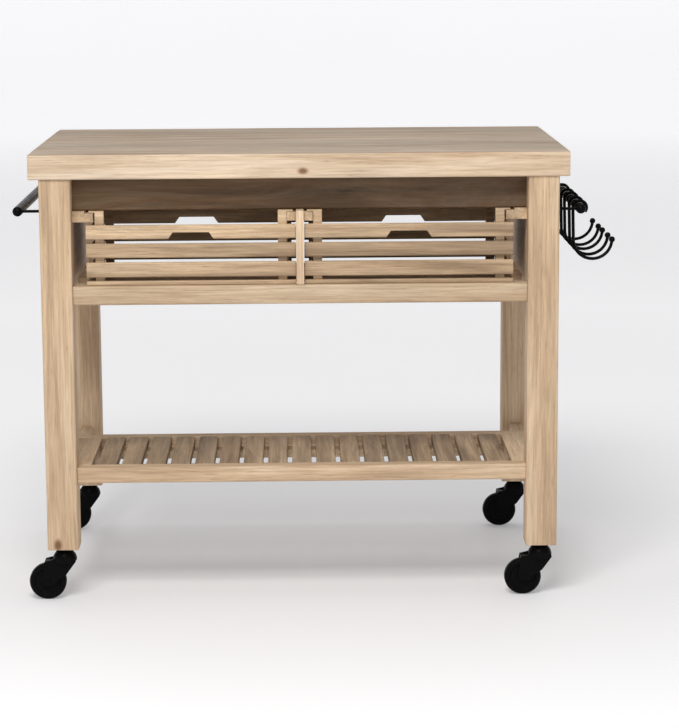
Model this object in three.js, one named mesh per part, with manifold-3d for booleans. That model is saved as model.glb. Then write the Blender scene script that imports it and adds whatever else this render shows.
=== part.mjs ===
// Rolling kitchen cart: a plank worktop on four square legs with casters,
// two slatted crates that slide forward, a slatted lower shelf, a towel bar
// on the left and a bar with five S-hooks on the right.
// Millimetres, +Z up, the front faces -Y, the floor is z = 0.
import * as THREE from 'three';
import { mergeVertices } from 'three/addons/utils/BufferGeometryUtils.js';
import Module from 'manifold-3d';

// Overall sizes
const topLength = 1070;
const topDepth = 610;
const topThickness = 49.3;
const height = 910;
const bandWidth = 42;
const plankCount = 5;
const grooveWidth = 3;
const grooveDepth = 1.6;
const endBand = 18;
const hookTipReach = 635;
const barOuterReach = 573;
const shiftX = -(hookTipReach - barOuterReach) / 2;

// Legs
const legX = 484.1;
const legWidth = 62.4;
const legDepth = 58;
const legInset = 5;
const legBottom = 108;
const ease = 2;
const underTop = height - topThickness;
const frontLegY = -topDepth / 2 + legInset + legDepth / 2;
const rearLegY = -frontLegY;
const legInner = legX - legWidth / 2;
const legOuter = legX + legWidth / 2;

// Rails
const apronBottom = 795;
const apronThickness = 18;
const apronRecess = 35;
const railFrontY = -292;
const railThickness = 30;
const midRailBottom = 608;
const midRailTop = 646;
const lowRailBottom = 244.4;
const lowRailTop = 277;
const frameBackY = 18;
const stretcherHeight = 33;

// Lower shelf
const slatCount = 17;
const slatWidth = 39.5;
const slatPitch = 49.5;
const slatThickness = 18;
const battenDepth = 36;
const battenInset = 32;
const endBoardInner = 426.5;

// Crate bay
const dividerThickness = 15;
const runnerBottom = 773;
const flangeTop = 791;
const outerFlangeInner = 411;
const cleatInner = 428;
const centreFlangeOuter = 25.6;
const runnerFrontY = -278;
const bayBackY = 5;

// Crates
const crateX = 217.2;
const crateWidth = 417;
const crateFrontY = -280;
const crateDepth = 260;
const panelSlat = 9;
const postDepth = 15;
const sideSlat = 8;
const crateFloorBottom = 646.4;
const floorThickness = 8;
const slatBands = [[662, 692], [701, 729.5], [738.5, 766.7]];
const postWidth = 17.7;
const postInset = 17.5;
const lipBottom = 791.4;
const lipTop = 794.4;
const lipReach = 12;
const holdTop = 72;
const holdBottom = 92;
const holdHeight = 13.5;

// Side bars and hooks
const barX = 563;
const barRadius = 10;
const towelBarZ = 793;
const hookBarZ = 790;
const barFrontY = -265;
const barBackY = 265;
const bracketRadius = 3;
const bracketEndInset = 14;
const bracketPlate = 3;
const bracketPlateRadius = 11;
const hookYs = [-235, -171, -90, -27, 66];
const wireRadius = 3.3;
const hookLoopRadius = 13.8;
const bowlRadius = 39;
const bowlDrop = 65;
const ballRadius = 6.25;

// Casters
const wheelRadius = 37.5;
const wheelWidth = 22;
const trail = 35;
const boreRadius = 4.3;
const axleRadius = 4;
const cheekInner = 12.4;
const cheekOuter = 15.6;
const hoodRadius = 23;
const hoodBottom = 77;
const hoodTop = 103.5;
const plateRadius = 17;
const gap = 0.3;

const lightWood = '#d6bb98';
const greyWood = '#a3927b';
const slatWood = '#97836a';
const crateWood = '#a58f73';
const shadowWood = '#b99c78';
const black = '#121213';

const wasm = await Module();
wasm.setup();

function toSolid(geometry) {
  const bare = geometry.clone();
  bare.deleteAttribute('normal');
  bare.deleteAttribute('uv');
  const merged = mergeVertices(bare, 1e-4);
  return new wasm.Manifold(new wasm.Mesh({
    numProp: 3,
    vertProperties: new Float32Array(merged.attributes.position.array),
    triVerts: new Uint32Array(merged.index.array),
  }));
}

function toGeometry(solid) {
  const mesh = solid.getMesh();
  const geometry = new THREE.BufferGeometry();
  const points = new THREE.BufferAttribute(new Float32Array(mesh.vertProperties), 3);
  geometry.setAttribute('position', points);
  geometry.setIndex(new THREE.BufferAttribute(new Uint32Array(mesh.triVerts), 1));
  geometry.computeVertexNormals();
  return geometry;
}

function union(geometries) {
  return toGeometry(geometries.map(toSolid).reduce((a, b) => a.add(b)));
}

function subtract(geometry, cutters) {
  return toGeometry(cutters.map(toSolid).reduce((a, b) => a.subtract(b), toSolid(geometry)));
}

function rod(radius, length, segments = 24) {
  return new THREE.CylinderGeometry(radius, radius, length, segments);
}

function box(x0, x1, y0, y1, z0, z1) {
  const geometry = new THREE.BoxGeometry(x1 - x0, y1 - y0, z1 - z0);
  return geometry.translate((x0 + x1) / 2, (y0 + y1) / 2, (z0 + z1) / 2);
}

const axisX = new THREE.Vector3(1, 0, 0);
const axisY = new THREE.Vector3(0, 1, 0);
const axisZ = new THREE.Vector3(0, 0, 1);
const turns = {
  x: new THREE.Matrix4().makeBasis(axisY, axisZ, axisX),
  y: new THREE.Matrix4().makeBasis(axisZ, axisX, axisY),
  z: new THREE.Matrix4(),
};

// Extrudes an outline along one axis. Its points are (y, z) along x,
// (z, x) along y and (x, y) along z.
function extrude(axis, outline, from, to) {
  const shape = new THREE.Shape(outline.map(([u, v]) => new THREE.Vector2(u, v)));
  const geometry = new THREE.ExtrudeGeometry(shape, { depth: to - from, bevelEnabled: false });
  return geometry.translate(0, 0, from).applyMatrix4(turns[axis]);
}

// A straight timber whose long edges, which run along one axis, are eased.
function timber(axis, x0, x1, y0, y1, z0, z1) {
  const sides = {
    x: [y0, y1, z0, z1, x0, x1],
    y: [z0, z1, x0, x1, y0, y1],
    z: [x0, x1, y0, y1, z0, z1],
  };
  const [a0, a1, b0, b1, from, to] = sides[axis];
  const outline = [
    [a0 + ease, b0], [a1 - ease, b0], [a1, b0 + ease], [a1, b1 - ease],
    [a1 - ease, b1], [a0 + ease, b1], [a0, b1 - ease], [a0, b0 + ease],
  ];
  return extrude(axis, outline, from, to);
}

// A disc or shaft turned about the z axis from a closed outline of (radius, z).
function turned(outline, segments = 32) {
  const points = outline.map(([r, z]) => new THREE.Vector2(r, z));
  return new THREE.LatheGeometry(points, segments).rotateX(Math.PI / 2);
}

// A round wire along a path in the x-z plane, closed at both ends.
function wire(path, radius, y, sides = 10) {
  const positions = [];
  const index = [];
  path.forEach(([x, z], i) => {
    const [px, pz] = path[Math.max(i - 1, 0)];
    const [nx, nz] = path[Math.min(i + 1, path.length - 1)];
    const length = Math.hypot(nx - px, nz - pz);
    const side = [-(nz - pz) / length, (nx - px) / length];
    for (let k = 0; k < sides; k += 1) {
      const angle = (2 * Math.PI * k) / sides;
      const out = radius * Math.cos(angle);
      positions.push(x + out * side[0], y + radius * Math.sin(angle), z + out * side[1]);
    }
  });
  for (let i = 0; i + 1 < path.length; i += 1) {
    for (let k = 0; k < sides; k += 1) {
      const a = i * sides + k;
      const b = i * sides + ((k + 1) % sides);
      index.push(a, b + sides, b, a, a + sides, b + sides);
    }
  }
  const last = (path.length - 1) * sides;
  for (let k = 1; k + 1 < sides; k += 1) {
    index.push(0, k, k + 1, last, last + k + 1, last + k);
  }
  const geometry = new THREE.BufferGeometry();
  geometry.setAttribute('position', new THREE.Float32BufferAttribute(positions, 3));
  geometry.setIndex(index);
  return geometry;
}

function arc(x, z, radius, fromDegrees, toDegrees, steps) {
  return Array.from({ length: steps + 1 }, (_, i) => {
    const angle = THREE.MathUtils.degToRad(fromDegrees + ((toDegrees - fromDegrees) * i) / steps);
    return [x + radius * Math.cos(angle), z + radius * Math.sin(angle)];
  });
}

const cart = new THREE.Group();
cart.name = 'bar_cart';

function add(name, geometry, color, roughness = 0.6, metalness = 0) {
  const material = new THREE.MeshStandardMaterial({ color, roughness, metalness });
  const mesh = new THREE.Mesh(geometry, material);
  mesh.name = name;
  mesh.position.x = shiftX;
  cart.add(mesh);
}

// Worktop: a core of lengthwise planks between a front and a back band
const coreEdge = topDepth / 2 - bandWidth;
const plankPitch = (2 * coreEdge) / plankCount;
const grooves = [];
for (let i = 1; i < plankCount; i += 1) {
  const y = -coreEdge + i * plankPitch;
  const groove = [
    [y - grooveWidth / 2, height + 1], [y, height - grooveDepth], [y + grooveWidth / 2, height + 1],
  ];
  grooves.push(extrude('x', groove, -topLength / 2 + endBand, topLength / 2 - endBand));
}
const core = box(-topLength / 2, topLength / 2, -coreEdge, coreEdge, underTop, height);
add('top_core', subtract(core, grooves), greyWood);
for (const [name, side] of [['front', -1], ['back', 1]]) {
  const [near, far] = [side * coreEdge, (side * topDepth) / 2].sort((a, b) => a - b);
  const band = timber('x', -topLength / 2, topLength / 2, near, far, underTop, height);
  add(`top_band_${name}`, band, lightWood);
}

// Legs and the aprons and rails between them
for (const [endName, y] of [['front', frontLegY], ['back', rearLegY]]) {
  for (const [sideName, side] of [['left', -1], ['right', 1]]) {
    const x = side * legX;
    const leg = timber('z', x - legWidth / 2, x + legWidth / 2,
      y - legDepth / 2, y + legDepth / 2, legBottom, underTop);
    add(`leg_${endName}_${sideName}`, leg, lightWood);
  }
}
const legFace = -topDepth / 2 + legInset;
const legBack = legFace + legDepth;
const apronFace = legFace + apronRecess;
const apronBack = apronFace + apronThickness;
const frontApron = timber('x', -legInner, legInner, apronFace, apronBack, apronBottom, underTop);
add('apron_front', frontApron, shadowWood);
const backApron = timber('x', -legInner, legInner, -apronBack, -apronFace, apronBottom, underTop);
add('apron_back', backApron, shadowWood);

const railBackY = railFrontY + railThickness;
const frameInnerY = frameBackY - railThickness;
const sideRail = [legX - railThickness / 2, legX + railThickness / 2];
add('mid_rail_front', timber('x', -legInner, legInner, railFrontY, railBackY,
  midRailBottom, midRailTop), lightWood);
add('mid_rail_back', timber('x', -sideRail[0], sideRail[0], frameInnerY, frameBackY,
  midRailBottom, midRailTop), lightWood);
add('low_rail_front', timber('x', -legInner, legInner, railFrontY, railBackY,
  lowRailBottom, lowRailTop), lightWood);
add('low_rail_back', timber('x', -sideRail[1], sideRail[1], frameInnerY, frameBackY,
  lowRailBottom, lowRailTop), lightWood);

function mirrored(side, a, b) {
  return [side * a, side * b].sort((p, q) => p - q);
}

for (const [name, side] of [['left', -1], ['right', 1]]) {
  const apronX = mirrored(side, legInner, legInner + apronThickness);
  // The side apron drops to the mid rail beside the crate bay and closes its end.
  const apronOutline = [
    [legBack, midRailTop], [bayBackY, midRailTop], [bayBackY, apronBottom],
    [-legBack, apronBottom], [-legBack, underTop], [legBack, underTop],
  ];
  add(`apron_${name}`, extrude('x', apronOutline, ...apronX), shadowWood);
  const railX = mirrored(side, ...sideRail);
  add(`mid_rail_${name}`, timber('y', ...railX, legBack, -legBack, midRailBottom, midRailTop), lightWood);
  const stretcher = timber('y', ...railX, legBack, -legBack,
    lowRailBottom - stretcherHeight, lowRailBottom);
  add(`stretcher_${name}`, stretcher, lightWood);

  // The end board of the shelf is notched round the leg.
  const outline = [
    [endBoardInner, railBackY], [legInner - gap, railBackY], [legInner - gap, legBack + gap],
    [sideRail[1], legBack + gap], [sideRail[1], frameInnerY], [endBoardInner, frameInnerY],
  ].map(([x, y]) => [side * x, y]);
  add(`shelf_end_${name}`, extrude('z', outline, lowRailBottom, lowRailTop), lightWood);
}

// Lower shelf: slats running front to back on two battens
const slats = [];
for (let i = 0; i < slatCount; i += 1) {
  const x = (i - (slatCount - 1) / 2) * slatPitch;
  slats.push(timber('y', x - slatWidth / 2, x + slatWidth / 2,
    railBackY, frameInnerY, lowRailTop - slatThickness, lowRailTop));
}
for (const y of [railBackY + battenInset, frameInnerY - battenInset - battenDepth]) {
  slats.push(box(-endBoardInner, endBoardInner, y, y + battenDepth,
    lowRailBottom, lowRailTop - slatThickness + ease));
}
add('shelf_slats', union(slats), slatWood);

// Crate bay: a divider and four runners that the crates hang from
const behindApron = apronBack + gap;
const dividerOutline = [
  [railFrontY, midRailTop], [bayBackY, midRailTop], [bayBackY, underTop],
  [behindApron, underTop], [behindApron, apronBottom], [railFrontY, apronBottom],
];
add('divider', extrude('x', dividerOutline, -dividerThickness / 2, dividerThickness / 2), lightWood);
for (const [name, side] of [['left', -1], ['right', 1]]) {
  const cleatOutline = [
    [runnerFrontY, runnerBottom], [bayBackY, runnerBottom], [bayBackY, underTop],
    [behindApron, underTop], [behindApron, apronBottom - gap], [runnerFrontY, apronBottom - gap],
  ];
  const cleat = extrude('x', cleatOutline, ...mirrored(side, cleatInner, legInner));
  const [flangeX0, flangeX1] = mirrored(side, outerFlangeInner, cleatInner + 1);
  const flange = box(flangeX0, flangeX1, runnerFrontY, bayBackY, runnerBottom, flangeTop);
  add(`runner_outer_${name}`, union([cleat, flange]), crateWood);
  const [x0, x1] = mirrored(side, dividerThickness / 2, centreFlangeOuter);
  add(`runner_centre_${name}`, box(x0, x1, runnerFrontY, bayBackY, runnerBottom, flangeTop), crateWood);
}

// Crates: two end panels with corner posts and lips, two sides and a floor
const crateBackY = crateFrontY + crateDepth;
const floorTop = crateFloorBottom + floorThickness;
const postOuter = crateWidth / 2 - postInset;
const postInner = postOuter - postWidth;

function cratePanel(x, face, inward) {
  const [slatY0, slatY1] = [face, face + inward * panelSlat].sort((a, b) => a - b);
  const [postY0, postY1] = [face + inward * (panelSlat - 1), face + inward * (panelSlat + postDepth)]
    .sort((a, b) => a - b);
  const pieces = slatBands.map(([z0, z1]) => timber('x', x - crateWidth / 2, x + crateWidth / 2,
    slatY0, slatY1, z0, z1));
  for (const side of [-1, 1]) {
    const [x0, x1] = mirrored(side, postInner, postOuter);
    pieces.push(box(x + x0, x + x1, postY0, postY1, floorTop + gap, lipTop));
    const [lip0, lip1] = mirrored(side, postInner, postOuter + lipReach);
    pieces.push(box(x + lip0, x + lip1, postY0, postY1, lipBottom, lipTop));
  }
  const holdBase = slatBands[2][0];
  const hold = [
    [holdBase - 1, x - holdBottom / 2], [holdBase - 1, x + holdBottom / 2],
    [holdBase + holdHeight, x + holdTop / 2], [holdBase + holdHeight, x - holdTop / 2],
  ];
  return subtract(union(pieces), [extrude('y', hold, slatY0 - 1, slatY1 + 1)]);
}

for (const [name, side] of [['left', -1], ['right', 1]]) {
  const x = side * crateX;
  add(`crate_${name}_front`, cratePanel(x, crateFrontY, 1), crateWood);
  add(`crate_${name}_back`, cratePanel(x, crateBackY, -1), crateWood);
  for (const [sideName, face] of [['side_a', -1], ['side_b', 1]]) {
    const [x0, x1] = mirrored(face, postOuter + gap, postOuter + gap + sideSlat);
    const [y0, y1] = [crateFrontY + panelSlat + gap, crateBackY - panelSlat - gap];
    const pieces = slatBands.map(([z0, z1]) => timber('y', x + x0, x + x1, y0, y1, z0, z1));
    const [stay0, stay1] = mirrored(face, postOuter - sideSlat, postOuter + gap + 1);
    const stayY = (y0 + y1) / 2;
    pieces.push(box(x + stay0, x + stay1, stayY - postWidth / 2, stayY + postWidth / 2,
      floorTop + gap, slatBands[2][1] - ease));
    add(`crate_${name}_${sideName}`, union(pieces), crateWood);
  }
  add(`crate_${name}_floor`, box(x - crateWidth / 2, x + crateWidth / 2,
    crateFrontY, crateBackY, crateFloorBottom, floorTop), crateWood);
}

// Casters: a plate, a hooded fork, a wheel and its axle, trailing to the left
const hoodOutline = [
  [0, hoodBottom], [hoodRadius - 1.5, hoodBottom], [hoodRadius + 1, hoodBottom + 4],
  [hoodRadius + 1.2, hoodBottom + 9], [hoodRadius - 1, hoodBottom + 16],
  [hoodRadius - 6, hoodTop - 3.5], [hoodRadius - 10, hoodTop], [0, hoodTop],
];
const cheekOutline = [
  [22, 86], [-22, 86], [-27, 84], [-40, 81], [-41, 76], [-43, 58], [-46, 40], [-44, 32],
  [-35, 27.5], [-26, 31], [4, 54], [23, 80],
];
const wheelFace = [
  [boreRadius, wheelWidth / 2], [10, wheelWidth / 2], [12, wheelWidth / 2 - 2.5],
  [25, wheelWidth / 2 - 2.5], [27, wheelWidth / 2 - 0.4], [31, wheelWidth / 2 - 0.4],
  [35, wheelWidth / 2 - 2], [wheelRadius, wheelWidth / 2 - 6],
];
const wheelOutline = [
  ...wheelFace.map(([r, z]) => [r, -z]),
  ...[...wheelFace].reverse(),
  [boreRadius, -wheelWidth / 2],
];

for (const [endName, y] of [['front', frontLegY], ['back', rearLegY]]) {
  for (const [sideName, side] of [['left', -1], ['right', 1]]) {
    const x = side * legX;
    const where = `${endName}_${sideName}`;
    const plate = rod(plateRadius, legBottom - hoodTop - gap).rotateX(Math.PI / 2);
    plate.translate(x, y, (legBottom + hoodTop + gap) / 2);
    add(`caster_plate_${where}`, plate, black, 0.35, 0.4);

    const cheeks = [-1, 1].map((face) => {
      const [y0, y1] = mirrored(face, cheekInner, cheekOuter);
      return extrude('y', cheekOutline.map(([u, v]) => [v, u]), y0, y1);
    });
    const lip = box(-40, -10, -cheekOuter, cheekOuter, hoodBottom + 0.5, hoodBottom + 4);
    const hole = rod(boreRadius, 3 * cheekOuter).translate(-trail, 0, wheelRadius);
    const fork = subtract(union([turned(hoodOutline), ...cheeks, lip]), [hole]);
    add(`caster_fork_${where}`, fork.translate(x, y, 0), black, 0.35, 0.4);

    const wheel = turned(wheelOutline, 40).rotateX(Math.PI / 2);
    add(`caster_wheel_${where}`, wheel.translate(x - trail, y, wheelRadius), black, 0.4, 0);

    const shaft = rod(axleRadius, 2 * (cheekOuter + gap + 0.5), 20);
    const heads = [-1, 1].map((face) => (
      rod(6, 2.4, 20).translate(0, face * (cheekOuter + gap + 1.2), 0)
    ));
    const axle = union([shaft, ...heads]).translate(x - trail, y, wheelRadius);
    add(`caster_axle_${where}`, axle, black, 0.35, 0.6);
  }
}

// Side bars on two brackets each
function sideBar(side, z) {
  const bar = new THREE.CapsuleGeometry(barRadius, barBackY - barFrontY - 2 * barRadius, 6, 28);
  const pieces = [bar.translate(side * barX, (barFrontY + barBackY) / 2, z)];
  for (const y of [barFrontY + bracketEndInset, barBackY - bracketEndInset]) {
    const reach = barX - legOuter;
    pieces.push(rod(bracketRadius, reach, 16).rotateZ(Math.PI / 2)
      .translate(side * (legOuter + reach / 2), y, z));
    pieces.push(rod(bracketPlateRadius, bracketPlate, 24).rotateZ(Math.PI / 2)
      .translate(side * (legOuter + bracketPlate / 2), y, z));
  }
  return union(pieces);
}
add('towel_bar', sideBar(-1, towelBarZ), black, 0.35, 0.5);
add('hook_bar', sideBar(1, hookBarZ), black, 0.35, 0.5);

// S-hooks hung on the right bar
const tipX = hookTipReach - ballRadius;
const bowlX = tipX - bowlRadius;
const bowlZ = hookBarZ - bowlDrop;
const hookPath = [
  ...arc(barX, hookBarZ, hookLoopRadius, -40, 180, 14),
  ...arc(bowlX, bowlZ, bowlRadius, 180, 360, 18),
];
hookYs.forEach((y, i) => {
  const ball = new THREE.SphereGeometry(ballRadius, 16, 10).translate(tipX, y, bowlZ);
  const hook = union([wire(hookPath, wireRadius, y), ball]);
  add(`hook_${i + 1}`, hook, black, 0.35, 0.5);
});

export default cart;
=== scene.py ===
"""Looks for a wooden bar cart on casters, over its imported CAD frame. Metres, +Z up, front to -Y."""

import math

import bpy
from mathutils import Matrix, Vector


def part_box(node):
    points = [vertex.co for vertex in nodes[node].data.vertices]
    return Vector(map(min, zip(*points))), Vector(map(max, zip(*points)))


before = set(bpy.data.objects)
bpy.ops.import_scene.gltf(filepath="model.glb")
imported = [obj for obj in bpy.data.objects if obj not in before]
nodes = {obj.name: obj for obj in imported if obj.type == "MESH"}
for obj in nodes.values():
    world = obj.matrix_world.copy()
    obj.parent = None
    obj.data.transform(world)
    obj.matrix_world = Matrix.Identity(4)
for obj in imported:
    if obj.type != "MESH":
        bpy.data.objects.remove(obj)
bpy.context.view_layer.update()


# ---------------------------------------------------------------- shader helpers


class Tree:
    """Builds one node material, with short calls for the nodes it uses."""

    def __init__(self, name, roughness):
        self.material = bpy.data.materials.new(name)
        self.material.use_nodes = True
        self.nodes = self.material.node_tree.nodes
        self.links = self.material.node_tree.links
        self.nodes.clear()
        self.shader = self.nodes.new("ShaderNodeBsdfPrincipled")
        self.shader.inputs["Roughness"].default_value = roughness
        output = self.nodes.new("ShaderNodeOutputMaterial")
        self.links.new(self.shader.outputs["BSDF"], output.inputs["Surface"])
        coordinates = self.nodes.new("ShaderNodeTexCoord")
        self.place = coordinates.outputs["Object"]

    def plug(self, socket, value):
        if isinstance(value, bpy.types.NodeSocket):
            self.links.new(value, socket)
        else:
            socket.default_value = value

    def math(self, operation, a, b=0.0):
        node = self.nodes.new("ShaderNodeMath")
        node.operation = operation
        self.plug(node.inputs[0], a)
        self.plug(node.inputs[1], b)
        return node.outputs[0]

    def split(self, vector):
        node = self.nodes.new("ShaderNodeSeparateXYZ")
        self.plug(node.inputs[0], vector)
        return node.outputs

    def join(self, x, y, z):
        node = self.nodes.new("ShaderNodeCombineXYZ")
        for socket, value in zip(node.inputs, (x, y, z)):
            self.plug(socket, value)
        return node.outputs[0]

    def add(self, a, b):
        node = self.nodes.new("ShaderNodeVectorMath")
        node.operation = "ADD"
        self.plug(node.inputs[0], a)
        self.plug(node.inputs[1], b)
        return node.outputs[0]

    def length(self, vector):
        node = self.nodes.new("ShaderNodeVectorMath")
        node.operation = "LENGTH"
        self.plug(node.inputs[0], vector)
        return node.outputs["Value"]

    def stretched(self, vector, scale):
        node = self.nodes.new("ShaderNodeMapping")
        self.plug(node.inputs["Vector"], vector)
        node.inputs["Scale"].default_value = scale
        return node.outputs[0]

    def noise(self, vector, scale=1.0, detail=4.0, rough=0.55, distortion=0.0):
        node = self.nodes.new("ShaderNodeTexNoise")
        self.plug(node.inputs["Vector"], vector)
        node.inputs["Scale"].default_value = scale
        node.inputs["Detail"].default_value = detail
        node.inputs["Roughness"].default_value = rough
        node.inputs["Distortion"].default_value = distortion
        return node.outputs["Fac"]

    def white(self, value):
        node = self.nodes.new("ShaderNodeTexWhiteNoise")
        node.noise_dimensions = "1D"
        self.plug(node.inputs["W"], value)
        return node.outputs["Value"]

    def ramp(self, value, stops):
        node = self.nodes.new("ShaderNodeValToRGB")
        elements = node.color_ramp.elements
        while len(elements) < len(stops):
            elements.new(0.5)
        for element, (place, colour) in zip(elements, stops):
            element.position = place
            element.color = (*colour, 1.0)
        self.plug(node.inputs["Fac"], value)
        return node.outputs["Color"]

    def mask(self, value, low, high):
        return self.ramp(value, [(low, (0, 0, 0)), (high, (1, 1, 1))])

    def mix(self, kind, factor, a, b):
        node = self.nodes.new("ShaderNodeMix")
        node.data_type = "RGBA"
        node.blend_type = kind
        inputs = [socket for socket in node.inputs if socket.enabled]
        self.plug(inputs[0], factor)
        for socket, colour in zip(inputs[1:], (a, b)):
            self.plug(socket, colour if isinstance(colour, bpy.types.NodeSocket) else (*colour, 1.0))
        return next(socket for socket in node.outputs if socket.enabled)

    def stain(self, colour, factor, tint):
        """Multiplies colour by tint, where factor is above zero."""
        return self.mix("MULTIPLY", factor, colour, tint)

    def bump(self, height, strength, distance):
        node = self.nodes.new("ShaderNodeBump")
        node.inputs["Strength"].default_value = strength
        node.inputs["Distance"].default_value = distance
        self.plug(node.inputs["Height"], height)
        self.links.new(node.outputs["Normal"], self.shader.inputs["Normal"])


def srgb(code):
    """A hex colour as linear red, green and blue."""
    parts = [int(code[i:i + 2], 16) / 255 for i in (0, 2, 4)]
    return tuple(p / 12.92 if p <= 0.04045 else ((p + 0.055) / 1.055) ** 2.4 for p in parts)


WOOD_ROUGHNESS = 0.62
GREYED = srgb("7d6e5c")


def along(grain, across, length):
    """A scale for each axis: length on the grain's axis and across on the other two."""
    return tuple(length if axis == grain else across for axis in range(3))


def knot(t, colour, warp, grain, point, radius):
    """One dark knot at a point, with a paler ring of stain round it."""
    offset = t.stretched(t.add(t.place, tuple(-c for c in point)), along(grain, 1.0, 0.62))
    wobble = t.join(*[t.math("MULTIPLY", warp, 0.2 * radius)] * 3)
    reach = t.math("DIVIDE", t.length(t.add(offset, wobble)), radius)
    heart = t.math("SUBTRACT", 1.0, t.mask(reach, 0.35, 0.75))
    halo = t.math("SUBTRACT", 1.0, t.mask(reach, 0.6, 1.7))
    colour = t.stain(colour, t.math("MULTIPLY", halo, 0.55), (0.55, 0.38, 0.25))
    return t.stain(colour, t.math("MULTIPLY", heart, 0.8), (0.30, 0.18, 0.10))


def weathered(t, colour, place, grain, amount):
    """Wood gone grey in patches, with worn dark flecks."""
    patches = t.noise(t.stretched(place, along(grain, 16.0, 3.2)), detail=5.0, rough=0.7, distortion=0.8)
    grey = t.mask(patches, 0.44, 0.66)
    colour = t.mix("MIX", t.math("MULTIPLY", grey, amount), colour, GREYED)
    flecks = t.noise(t.stretched(place, along(grain, 34.0, 9.0)), detail=6.0, rough=0.75)
    worn = t.mask(flecks, 0.56, 0.72)
    return t.stain(colour, t.math("MULTIPLY", worn, 0.55 * amount), (0.50, 0.40, 0.32))


def wood(name, grain, pale, mid, dark, streaks=0.5, weather=0.0, knots=0.35,
         board=None, board_tint=0.0, marks=(), upward=None):
    """Sawn wood. grain is 0, 1 or 2 for the axis it runs along. board is (axis, start, pitch)
    where one node holds several boards, so that each takes its own tone and figure. marks are
    single knots, each a point and a radius. upward tints the faces that look up."""
    t = Tree(name, WOOD_ROUGHNESS)
    place = t.place
    if board:
        axis, start, pitch = board
        number = t.math("FLOOR", t.math("DIVIDE", t.math("SUBTRACT", t.split(place)[axis], start), pitch))
        tone = t.white(number)
        slide = [0.0, 0.0, 0.0]
        slide[grain] = t.math("MULTIPLY", tone, 7.3)
        slide[(grain + 1) % 3] = t.math("MULTIPLY", number, 0.631)
        place = t.add(place, t.join(*slide))
    warp = t.noise(t.stretched(place, (3.0, 3.0, 3.0)), detail=2.0)
    sway = [0.0 if axis == grain else t.math("MULTIPLY", warp, 0.012) for axis in range(3)]
    wavy = t.add(place, t.join(*sway))

    figure = t.noise(t.stretched(wavy, along(grain, 26.0, 1.7)), detail=5.0, rough=0.6, distortion=0.5)
    fibre = t.noise(t.stretched(wavy, along(grain, 230.0, 7.0)), detail=4.0, rough=0.7)
    patch = t.noise(t.stretched(place, along(grain, 7.0, 2.3)), detail=3.0)
    colour = t.ramp(figure, [(0.30, dark), (0.46, mid), (0.66, pale)])
    lines = t.mask(fibre, 0.36, 0.62)
    line_tint = t.ramp(lines, [(0.0, (0.52, 0.45, 0.38)), (1.0, (1.06, 1.05, 1.04))])
    colour = t.stain(colour, streaks, line_tint)
    patch_tint = t.ramp(patch, [(0.3, (0.82, 0.78, 0.74)), (0.7, (1.1, 1.09, 1.08))])
    colour = t.stain(colour, 0.55, patch_tint)
    # Pores: short dark dashes along the grain
    dashes = t.noise(t.stretched(place, along(grain, 520.0, 26.0)), detail=2.0)
    pores = t.mask(dashes, 0.60, 0.74)
    colour = t.stain(colour, t.math("MULTIPLY", pores, 0.45), (0.45, 0.33, 0.23))
    if weather:
        colour = weathered(t, colour, place, grain, weather)
    # Small scattered knots
    cells = t.nodes.new("ShaderNodeTexVoronoi")
    cells.inputs["Scale"].default_value = 1.0
    scattered = t.add(t.stretched(place, along(grain, 7.5, 3.0)), (3.31, 5.17, 1.73))
    t.plug(cells.inputs["Vector"], scattered)
    spots = t.math("SUBTRACT", 1.0, t.mask(cells.outputs["Distance"], 0.035, 0.12))
    colour = t.stain(colour, t.math("MULTIPLY", spots, knots), (0.30, 0.19, 0.12))
    for point, radius in marks:
        colour = knot(t, colour, warp, grain, point, radius)
    if board:
        shade = t.ramp(tone, [(0.0, (1 - board_tint,) * 3), (1.0, (1 + board_tint,) * 3)])
        colour = t.stain(colour, 1.0, shade)
    if upward:
        facing = t.split(t.nodes.new("ShaderNodeNewGeometry").outputs["Normal"])[2]
        colour = t.stain(colour, t.mask(facing, 0.6, 0.9), upward)
    t.links.new(colour, t.shader.inputs["Base Color"])
    gloss = t.math("ADD", t.math("MULTIPLY", fibre, 0.16), WOOD_ROUGHNESS - 0.08)
    t.links.new(gloss, t.shader.inputs["Roughness"])
    relief = t.math("ADD", t.math("MULTIPLY", lines, 0.6), t.math("MULTIPLY", pores, -0.8))
    t.bump(relief, 0.35, 0.0006)
    t.shader.inputs["Specular IOR Level"].default_value = 0.35
    return t.material


def black(name, roughness, grain_scale):
    """Black enamel or moulded tyre: near black, with fine unevenness in gloss and surface."""
    t = Tree(name, roughness)
    mottling = t.noise(t.stretched(t.place, (grain_scale,) * 3), detail=5.0, rough=0.65)
    dust = t.noise(t.stretched(t.place, (38.0, 38.0, 38.0)), detail=3.0)
    colour = t.ramp(mottling, [(0.35, (0.0020, 0.0020, 0.0022)), (0.75, (0.0078, 0.0078, 0.00818))])
    t.links.new(colour, t.shader.inputs["Base Color"])
    gloss = t.math("ADD", t.math("MULTIPLY", dust, 0.14), roughness - 0.07)
    t.links.new(gloss, t.shader.inputs["Roughness"])
    t.bump(mottling, 0.12, 0.0003)
    t.shader.inputs["Specular IOR Level"].default_value = 0.03
    return t.material


# ---------------------------------------------------------------- woods and blacks

# Each wood has a pale, a middle and a dark tone.
LIGHT = (srgb("dcc6aa"), srgb("cbb192"), srgb("b0957a"))
BAND = (srgb("dfd0bb"), srgb("d2bda4"), srgb("bba184"))
MID = (srgb("c9b59c"), srgb("baa285"), srgb("a1886f"))
# Painted shade: dark brown tones for the aprons, standing in for the deep shadow under the worktop's
# overhang
APRON_PAINTED_SHADE = (srgb("6a5033"), srgb("553d24"), srgb("40301c"))
SLAT = (srgb("c8b194"), srgb("a58e73"), srgb("796450"))
CRATE = (srgb("d6bd9d"), srgb("b89f81"), srgb("8c755b"))
# A grey tint on the faces of the worktop and its band that look up, which makes them darker than the
# front faces
UPWARD_GREY = (0.60, 0.61, 0.64)

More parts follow.
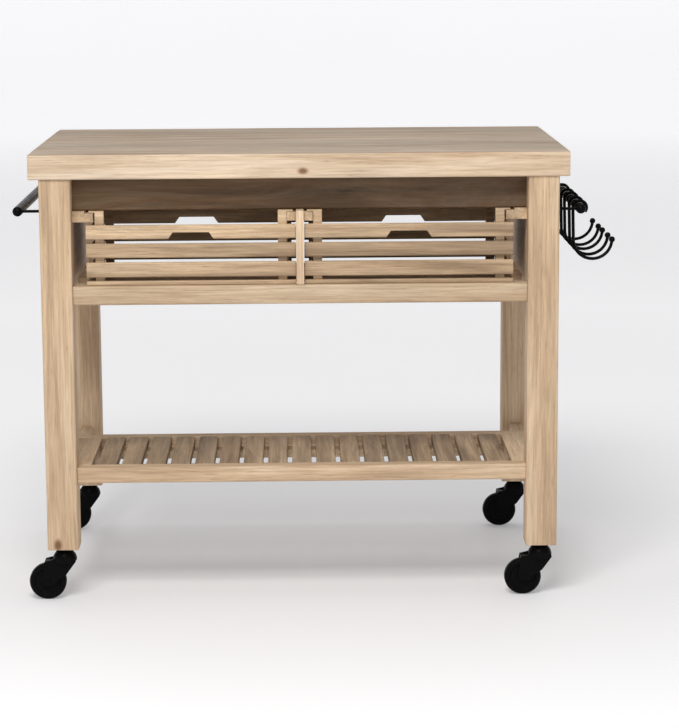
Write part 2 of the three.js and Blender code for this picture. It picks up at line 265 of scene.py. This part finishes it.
X, Y, Z = range(3)
PLANKS = 5
SLATS = 17
SLAT_PITCH = 0.0495
CRATE_SLAT_PITCH = 0.0385
KNOT_FROM_LEG_EDGE = 0.022
KNOT_ABOVE_FOOT = 0.012
KNOT_RIGHT_OF_MIDDLE = 0.008
KNOT_ABOVE_BAND_EDGE = 0.015


def middle_x(box):
    low, high = box
    return (low[X] + high[X]) / 2


leg_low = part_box("leg_front_left")[0]
leg_knot = (leg_low[X] + KNOT_FROM_LEG_EDGE, leg_low[Y], leg_low[Z] + KNOT_ABOVE_FOOT)
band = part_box("top_band_front")
band_knot = (middle_x(band) + KNOT_RIGHT_OF_MIDDLE, band[0][Y], band[0][Z] + KNOT_ABOVE_BAND_EDGE)

core_low, core_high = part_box("top_core")
planks = (Y, core_low[Y], (core_high[Y] - core_low[Y]) / PLANKS)
slats = (X, middle_x(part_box("shelf_slats")) - SLATS / 2 * SLAT_PITCH, SLAT_PITCH)
crate_slats = (Z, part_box("crate_left_floor")[1][Z] + 0.001, CRATE_SLAT_PITCH)

materials = {
    "leg": wood("wood_upright", Z, *LIGHT, weather=0.10, marks=[(leg_knot, 0.011)]),
    "rail": wood("wood_lengthwise", X, *LIGHT, weather=0.08),
    "mid_rail": wood("wood_mid_rail", X, *MID, weather=0.12),
    "side": wood("wood_crosswise", Y, *LIGHT, weather=0.18),
    "top": wood("wood_worktop", X, *BAND, weather=0.25, streaks=0.6, knots=0.2, upward=UPWARD_GREY,
                board=planks, board_tint=0.08),
    "band": wood("wood_edge_band", X, *BAND, weather=0.06, marks=[(band_knot, 0.009)], upward=UPWARD_GREY),
    "slat": wood("wood_shelf", Y, *SLAT, weather=0.55, streaks=0.6, knots=0.6,
                 board=slats, board_tint=0.16),
    "crate": wood("wood_crate_long", X, *CRATE, weather=0.4, streaks=0.6,
                  board=crate_slats, board_tint=0.07),
    "crate_side": wood("wood_crate_cross", Y, *CRATE, weather=0.4, streaks=0.6),
    # Painted shade on the front and back aprons, darker than their wood really is
    "painted_shade": wood("wood_painted_shade_apron", X, *APRON_PAINTED_SHADE, weather=0.3),
    "metal": black("black_enamel", 0.26, 900.0),
    "tyre": black("black_tyre", 0.32, 500.0),
}

SIDE_PIECES = ("apron", "mid_rail", "stretcher", "shelf_end")
METAL_PIECES = ("caster", "hook", "towel")


def finish_for(name):
    """The key of the material a CAD node takes, from the way its piece runs."""
    if name.startswith("leg_") or name == "divider":
        return "leg"
    if name == "top_core":
        return "top"
    if name.startswith("top_band"):
        return "band"
    # The front and back aprons take the painted shade material
    if name in ("apron_front", "apron_back"):
        return "painted_shade"
    if name == "shelf_slats":
        return "slat"
    if name.startswith("crate_"):
        return "crate_side" if "_side_" in name else "crate"
    if name.startswith("runner_"):
        return "crate_side"
    if name.endswith(("_left", "_right")) and name.startswith(SIDE_PIECES):
        return "side"
    if name.startswith("mid_rail"):
        return "mid_rail"
    if name.startswith("caster_wheel"):
        return "tyre"
    if name.startswith(METAL_PIECES):
        return "metal"
    return "rail"


# ---------------------------------------------------------------- edges

SHARP = math.radians(35)
WOOD_EASE = 0.0012
METAL_EASE = 0.0006
SAME_POINT = 0.00001


def soften(piece, width):
    """Rounds the sharp edges of a piece and shades it smoothly between them."""
    imported = piece.data.attributes.get("custom_normal")
    if imported:
        piece.data.attributes.remove(imported)
    for polygon in piece.data.polygons:
        polygon.use_smooth = True
    weld = piece.modifiers.new("joined_corners", "WELD")
    weld.merge_threshold = SAME_POINT
    bevel = piece.modifiers.new("eased_edges", "BEVEL")
    bevel.width = width
    bevel.segments = 2
    bevel.limit_method = "ANGLE"
    bevel.angle_limit = SHARP
    bevel.use_clamp_overlap = True
    bevel.harden_normals = True
    flat = piece.modifiers.new("flat_faces", "WEIGHTED_NORMAL")
    flat.keep_sharp = True


for name, piece in nodes.items():
    piece.data.materials.clear()
    piece.data.materials.append(materials[finish_for(name)])
    soften(piece, METAL_EASE if name.startswith(METAL_PIECES) else WOOD_EASE)


# ---------------------------------------------------------------- floor, light and camera

FLOOR_REACH = 13.0
WALL_BEND = 2.0
WALL_TOP = 3.2
WALL_SIDES = 72
BEND_STEPS = 10


def bowl():
    """The mesh of a round floor that curves up into a wall: rings of vertices, from the floor up."""
    rings = []
    for i in range(BEND_STEPS + 1):
        angle = math.pi / 2 * i / BEND_STEPS
        out = FLOOR_REACH - WALL_BEND + WALL_BEND * math.sin(angle)
        rings.append((out, WALL_BEND - WALL_BEND * math.cos(angle)))
    rings.append((FLOOR_REACH, WALL_TOP))
    turns = [2 * math.pi * k / WALL_SIDES for k in range(WALL_SIDES)]
    vertices = [(r * math.cos(turn), r * math.sin(turn), z) for r, z in rings for turn in turns]
    faces = [tuple(range(WALL_SIDES))]
    for first in range(0, WALL_SIDES * (len(rings) - 1), WALL_SIDES):
        for k in range(WALL_SIDES):
            here, after = first + k, first + (k + 1) % WALL_SIDES
            faces.append((after, here, here + WALL_SIDES, after + WALL_SIDES))
    mesh = bpy.data.meshes.new("backdrop")
    mesh.from_pydata(vertices, [], faces)
    for polygon in mesh.polygons:
        polygon.use_smooth = True
    return mesh


def backdrop_paint():
    """Pale paint. It glows a little more away from the lights, so that the floor stays even."""
    paint = Tree("backdrop_paint", 0.8)
    haze = paint.noise(paint.place, 0.6, detail=2.0)
    colour = paint.ramp(haze, [(0.2, (0.65, 0.65, 0.655)), (0.8, (0.68, 0.68, 0.685))])
    paint.links.new(colour, paint.shader.inputs["Base Color"])
    away = paint.math("DIVIDE", paint.length(paint.place), FLOOR_REACH)
    glow = paint.ramp(away, [(0.06, (0.20, 0.20, 0.21)), (0.13, (0.31, 0.31, 0.32)),
                             (0.27, (0.46, 0.46, 0.47)), (0.90, (0.56, 0.56, 0.57))])
    paint.links.new(glow, paint.shader.inputs["Emission Color"])
    paint.shader.inputs["Emission Strength"].default_value = 1.0
    return paint.material


def studio():
    """A pale floor and wall all round, out beyond every camera."""
    mesh = bowl()
    mesh.materials.append(backdrop_paint())
    floor = bpy.data.objects.new("backdrop", mesh)
    bpy.context.collection.objects.link(floor)


def panel(name, place, target, size, power, colour=(1.0, 1.0, 1.0)):
    """A soft rectangular lamp at place that faces target. Size is in metres and power in watts."""
    light = bpy.data.lights.new(name, "AREA")
    light.shape = "RECTANGLE"
    light.size, light.size_y = size
    light.energy = power
    light.color = colour
    lamp = bpy.data.objects.new(name, light)
    lamp.location = place
    lamp.rotation_euler = (Vector(target) - Vector(place)).to_track_quat("-Z", "Y").to_euler()
    bpy.context.collection.objects.link(lamp)


def sky(strength):
    world = bpy.data.worlds.new("studio")
    world.use_nodes = True
    background = world.node_tree.nodes["Background"]
    background.inputs["Color"].default_value = (1.0, 1.0, 1.0, 1.0)
    background.inputs["Strength"].default_value = strength
    bpy.context.scene.world = world


def camera(place, pitch, yaw, roll, lens, shift):
    """A camera that looks along +Y, turned right by yaw, down by pitch, then rolled, in degrees."""
    data = bpy.data.cameras.new("camera")
    data.lens = lens
    data.sensor_width = 36.0
    data.shift_y = shift
    eye = bpy.data.objects.new("camera", data)
    turn = Matrix.Rotation(math.radians(-yaw), 4, "Z")
    tilt = Matrix.Rotation(math.radians(90 - pitch), 4, "X")
    spin = Matrix.Rotation(math.radians(-roll), 4, "Z")
    eye.matrix_world = Matrix.Translation(place) @ turn @ tilt @ spin
    bpy.context.collection.objects.link(eye)
    bpy.context.scene.camera = eye


studio()
cart_middle = (0.0, 0.0, 0.5)
floor_middle = (0.0, 0.0, 0.0)
panel("key", (-0.5, -2.5, 3.4), cart_middle, (1.6, 1.2), 104.0, (1.0, 0.985, 0.96))
panel("fill", (0.4, -4.4, 1.2), cart_middle, (2.4, 1.6), 6.0)
panel("overhead", (0.0, 0.6, 3.6), floor_middle, (3.4, 2.6), 40.0)
sky(0.33)
camera((-0.0276, -4.6672, 1.3202), pitch=8.929, yaw=0.974, roll=0.339, lens=109.89, shift=-0.1)
bpy.context.scene.view_settings.view_transform = "Standard"
